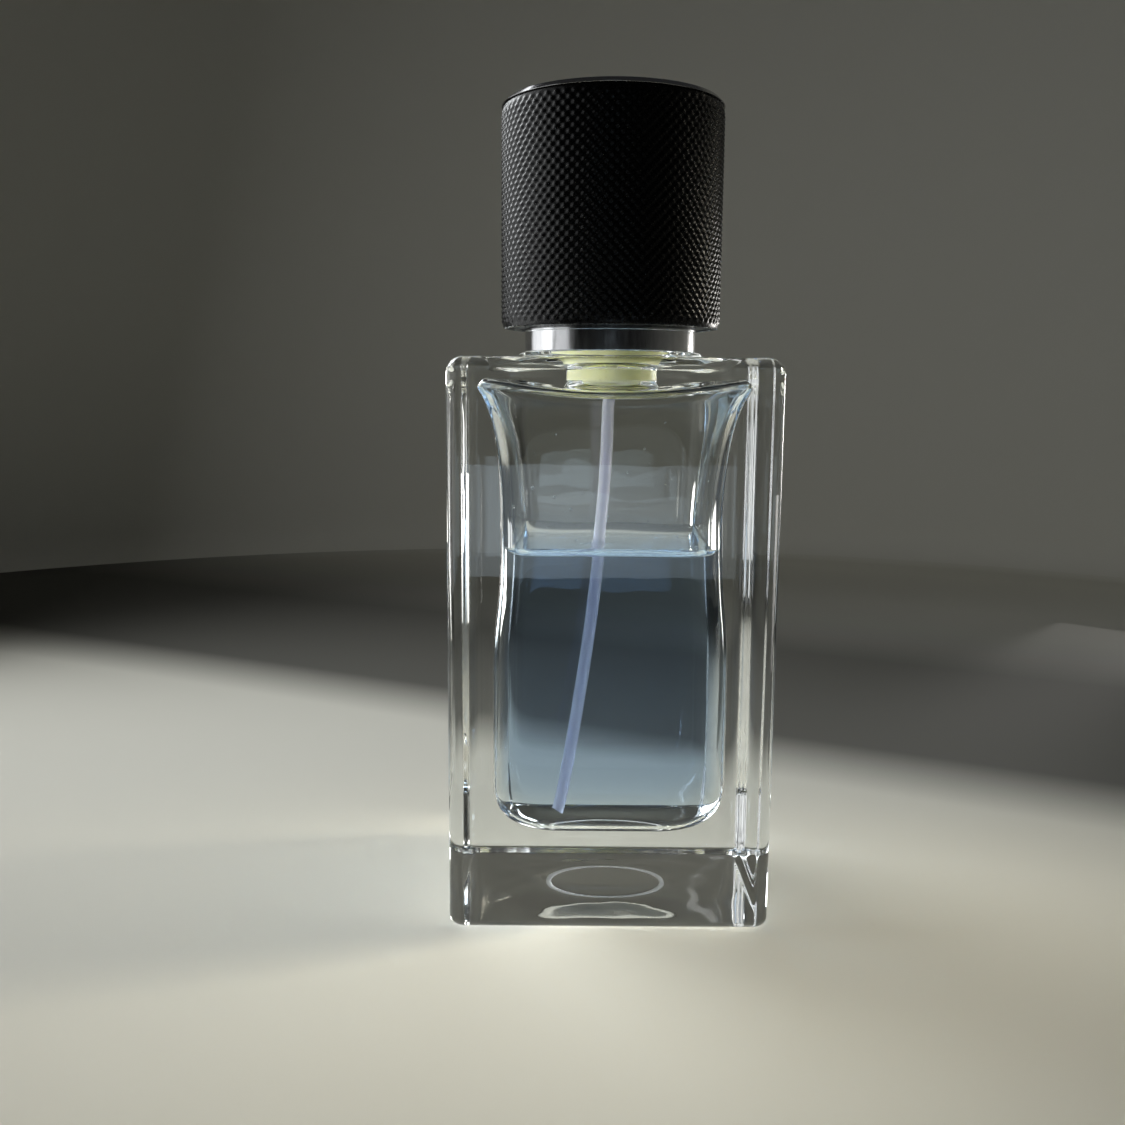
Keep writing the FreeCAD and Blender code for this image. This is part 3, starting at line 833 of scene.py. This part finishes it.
def spring_piece(name, node, body, joint, mean_r, wire_r, turns, anchor_z, keep):
    """Coil with closed end turns. The arguments joint, anchor_z (in metres) and keep are not used."""
    low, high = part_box(node)
    begin, finish = low.z / MM + wire_r, high.z / MM - wire_r
    end_rise = 2.1 * wire_r
    pitch = (finish - begin - 2 * end_rise) / (turns - 2)
    rings = []
    steps, sides = 40, 10
    for k in range(turns * steps + 1):
        turned = k / steps
        middle = min(max(turned - 1.0, 0.0), turns - 2.0)
        z = begin + end_rise * min(turned, 1.0) + pitch * middle + end_rise * max(0.0, turned - turns + 1.0)
        a = 2 * math.pi * turned
        outward, up = Vector((math.cos(a), math.sin(a), 0)), Vector((0, 0, 1))
        centre = outward * mean_r + up * z
        around = [2 * math.pi * i / sides for i in range(sides)]
        rings.append([(centre + (outward * math.cos(b) + up * math.sin(b)) * wire_r) * MM for b in around])
    first = Vector((mean_r, 0, begin)) * MM
    last = Vector((mean_r, 0, finish)) * MM
    verts, faces, _ = skin(rings, start=first, end=last)
    piece = new_object(name, verts, faces, [M["steel"]])
    tidy(piece)
    shade_by_angle(piece, 50)
    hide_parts(node)
    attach(piece, body)
    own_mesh(piece)
    return piece


# ---- carried-over CAD nodes ------------------------------------------------------------------------

CAD_FINISH = {
    "neck_gasket": "rubber",
    "pump_housing": "natural",
    "inlet_ball": "steel",
    "valve_pin": "white",
    "pump_piston": "white",
    "pump_stem": "white",
    "pump_turret": "white",
    "crimp_ferrule": "satin",
    "collar_insert": "natural",
    "collar_ring": "polished",
    "actuator_core": "white",
    "actuator_shell": "polished",
    "nozzle_insert": "white",
    "cap_liner": "liner",
    "cap_weight": "steel",
}


def finish_cad_nodes():
    """Gives each CAD node that stays its own procedural material."""
    for node, key in CAD_FINISH.items():
        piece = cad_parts[node]
        piece.data.materials.clear()
        piece.data.materials.append(M[key])
        for polygon in piece.data.polygons:
            polygon.material_index = 0


# ---- stage -----------------------------------------------------------------------------------------


def floor_material():
    """Matt board, pale under and before the bottle. Painted shade makes it grey from a little way behind the
    bottle, and painted light makes it paler again further back towards the wall.
    """
    made = Shader("pale_floor_painted_shade", roughness=0.75, specular_ior_level=0.08)
    behind = made.tree.nodes.new("ShaderNodeVectorMath")
    behind.operation = "DOT_PRODUCT"
    behind.inputs[1].default_value = (0.45, 0.89, 0)
    made.tree.links.new(made.coords, behind.inputs[0])
    span = made.tree.nodes.new("ShaderNodeMapRange")
    span.inputs["From Max"].default_value = 0.4
    made.tree.links.new(behind.outputs["Value"], span.inputs["Value"])
    # painted shade: a grey band a little way behind the bottle; painted light: paler again towards the wall
    shade_greys = [(0.150, 0.60), (0.225, 0.12), (0.45, 0.14), (0.70, 0.55), (0.9, 0.75)]
    warm_shade_greys = [(place, (grey, 0.98 * grey, 0.87 * grey)) for place, grey in shade_greys]
    made.colour(made.ramp(span.outputs["Result"], warm_shade_greys))
    made.bump(made.noise(60, 4.0), 0.2, 0.0003)
    return made.mat


def wall_material():
    """Grey paint, pale behind the bottle, with painted shade that makes it dark on the side that the bottle's
    front faces.
    """
    made = Shader("grey_wall_painted_shade", roughness=0.85)
    axes = made.tree.nodes.new("ShaderNodeSeparateXYZ")
    made.tree.links.new(made.coords, axes.inputs[0])
    span = made.tree.nodes.new("ShaderNodeMapRange")
    span.inputs["From Min"].default_value = -0.30
    span.inputs["From Max"].default_value = 0.15
    made.tree.links.new(axes.outputs["Y"], span.inputs["Value"])
    # painted shade: the wall darkens towards the front of the bottle
    made.colour(made.ramp(span.outputs["Result"], [(0.0, (0.05, 0.05, 0.05)), (1.0, (0.78, 0.765, 0.69))]))
    return made.mat


def room():
    """A pale round floor that meets a grey wall, open above."""
    floor_z, floor_r, wall_r, wall_top = -0.03, 385.0, 400.0, 420.0
    bend = wall_r - floor_r
    outline = [(r, floor_z) for r in (20.0, 100.0, 250.0, floor_r)]
    outline += arc((floor_r, floor_z + bend), bend, -90, 0, 6)[1:]
    outline += [(wall_r, 100.0), (wall_r, wall_top)]
    verts, faces, owner = skin([circle(r, z, 96) for r, z in outline], start=(0, 0, floor_z * MM))
    face_mats = [0 if outline[k][1] < 1.0 else 1 for k in owner]
    piece = new_object("studio_room", verts, faces, [floor_material(), wall_material()], face_mats)


def area_light(name, place, target, size, power, colour, beam, hidden):
    """Soft lamp. hidden lists the kinds of ray that don't see it: diffuse, glossy or transmission."""
    data = bpy.data.lights.new(name, "AREA")
    data.shape = "RECTANGLE"
    data.size, data.size_y = size
    data.energy = power
    data.color = colour
    data.spread = math.radians(beam)
    lamp = bpy.data.objects.new(name, data)
    lamp.location = place
    lamp.rotation_euler = (Vector(target) - Vector(place)).to_track_quat("-Z", "Y").to_euler()
    lamp.visible_camera = False
    for kind in hidden:
        setattr(lamp, "visible_" + kind, False)
    bpy.context.scene.collection.objects.link(lamp)


def light_studio():
    """Dim sky, and lamps given by place, target, size, power in watts, colour, beam and hidden rays."""
    world = bpy.data.worlds.new("world")
    world.use_nodes = True
    sky = world.node_tree.nodes["Background"]
    sky.inputs["Color"].default_value = (0.95, 0.97, 1.0, 1)
    sky.inputs["Strength"].default_value = 0.04
    bpy.context.scene.world = world
    pale, cool, cooler, blue = (0.96, 0.98, 1.0), (0.97, 0.99, 1.0), (0.95, 0.98, 1.0), (0.72, 0.87, 1.0)
    warm, warmer, sunny, cream = (1.0, 0.98, 0.94), (1.0, 0.97, 0.92), (1.0, 0.92, 0.74), (1.0, 0.99, 0.86)
    gloss, matt, clear = ("diffuse",), ("glossy", "transmission"), ("transmission",)
    lamps = {
        "left_front": ((-0.18, -0.08, 0.12), (0, -0.08, 0.09), (0.08, 0.20), 0.050, pale, 180, ()),
        "left_main": ((-0.18, 0.055, 0.13), (0, 0.055, 0.09), (0.17, 0.22), 0.18, cool, 180, clear),
        "left_slit": ((-0.176, 0.003, 0.13), (0, 0.003, 0.09), (0.05, 0.22), 0.030, cool, 180, gloss),
        "left_high": ((-0.22, 0.21, 0.27), (0, 0.035, 0.06), (0.22, 0.20), 0.20, cooler, 66, ()),
        "right_key": ((0.30, 0.06, 0.20), (-0.01, -0.05, 0.0), (0.05, 0.05), 0.030, sunny, 30, ()),
        "right_strip": ((0.19, 0.20, 0.05), (0, 0, 0.02), (0.05, 0.10), 0.016, warmer, 30, gloss),
        "right_low": ((0.17, 0.02, 0.03), (0, 0.02, 0.02), (0.18, 0.05), 0.014, warm, 40, gloss),
        "neck_fill": ((-0.20, -0.06, 0.095), (0, 0, 0.088), (0.03, 0.03), 0.0034, cream, 16, matt),
        "front_card": ((-0.01, -0.36, 0.005), (0, 0, 0.045), (0.16, 0.09), 0.0028, blue, 34, gloss),
    }
    for name, values in lamps.items():
        area_light(name, *values)


# ---- build -----------------------------------------------------------------------------------------

bottle_glass_piece()
liquid_piece()
liquid_surface_piece()
droplets_piece()
dip_tube_piece()
knurled_sleeve()
cap_top_piece()
return_coil = {"mean_r": 2.32, "wire_r": 0.2, "turns": 6, "anchor_z": 0.0876, "keep": 0.484}
piston_coil = {"mean_r": 2.1, "wire_r": 0.13, "turns": 4, "anchor_z": 0.0979, "keep": 0.706}
spring_piece("return_coil", "return_spring", "bottle", "press", **return_coil)
spring_piece("piston_coil", "piston_spring", "stem", "outlet_lift", **piston_coil)
finish_cad_nodes()
room()
light_studio()

scene = bpy.context.scene
scene.cycles.max_bounces = 28
scene.cycles.transmission_bounces = 24
scene.cycles.glossy_bounces = 12
scene.cycles.transparent_max_bounces = 16
scene.view_settings.view_transform = "Standard"
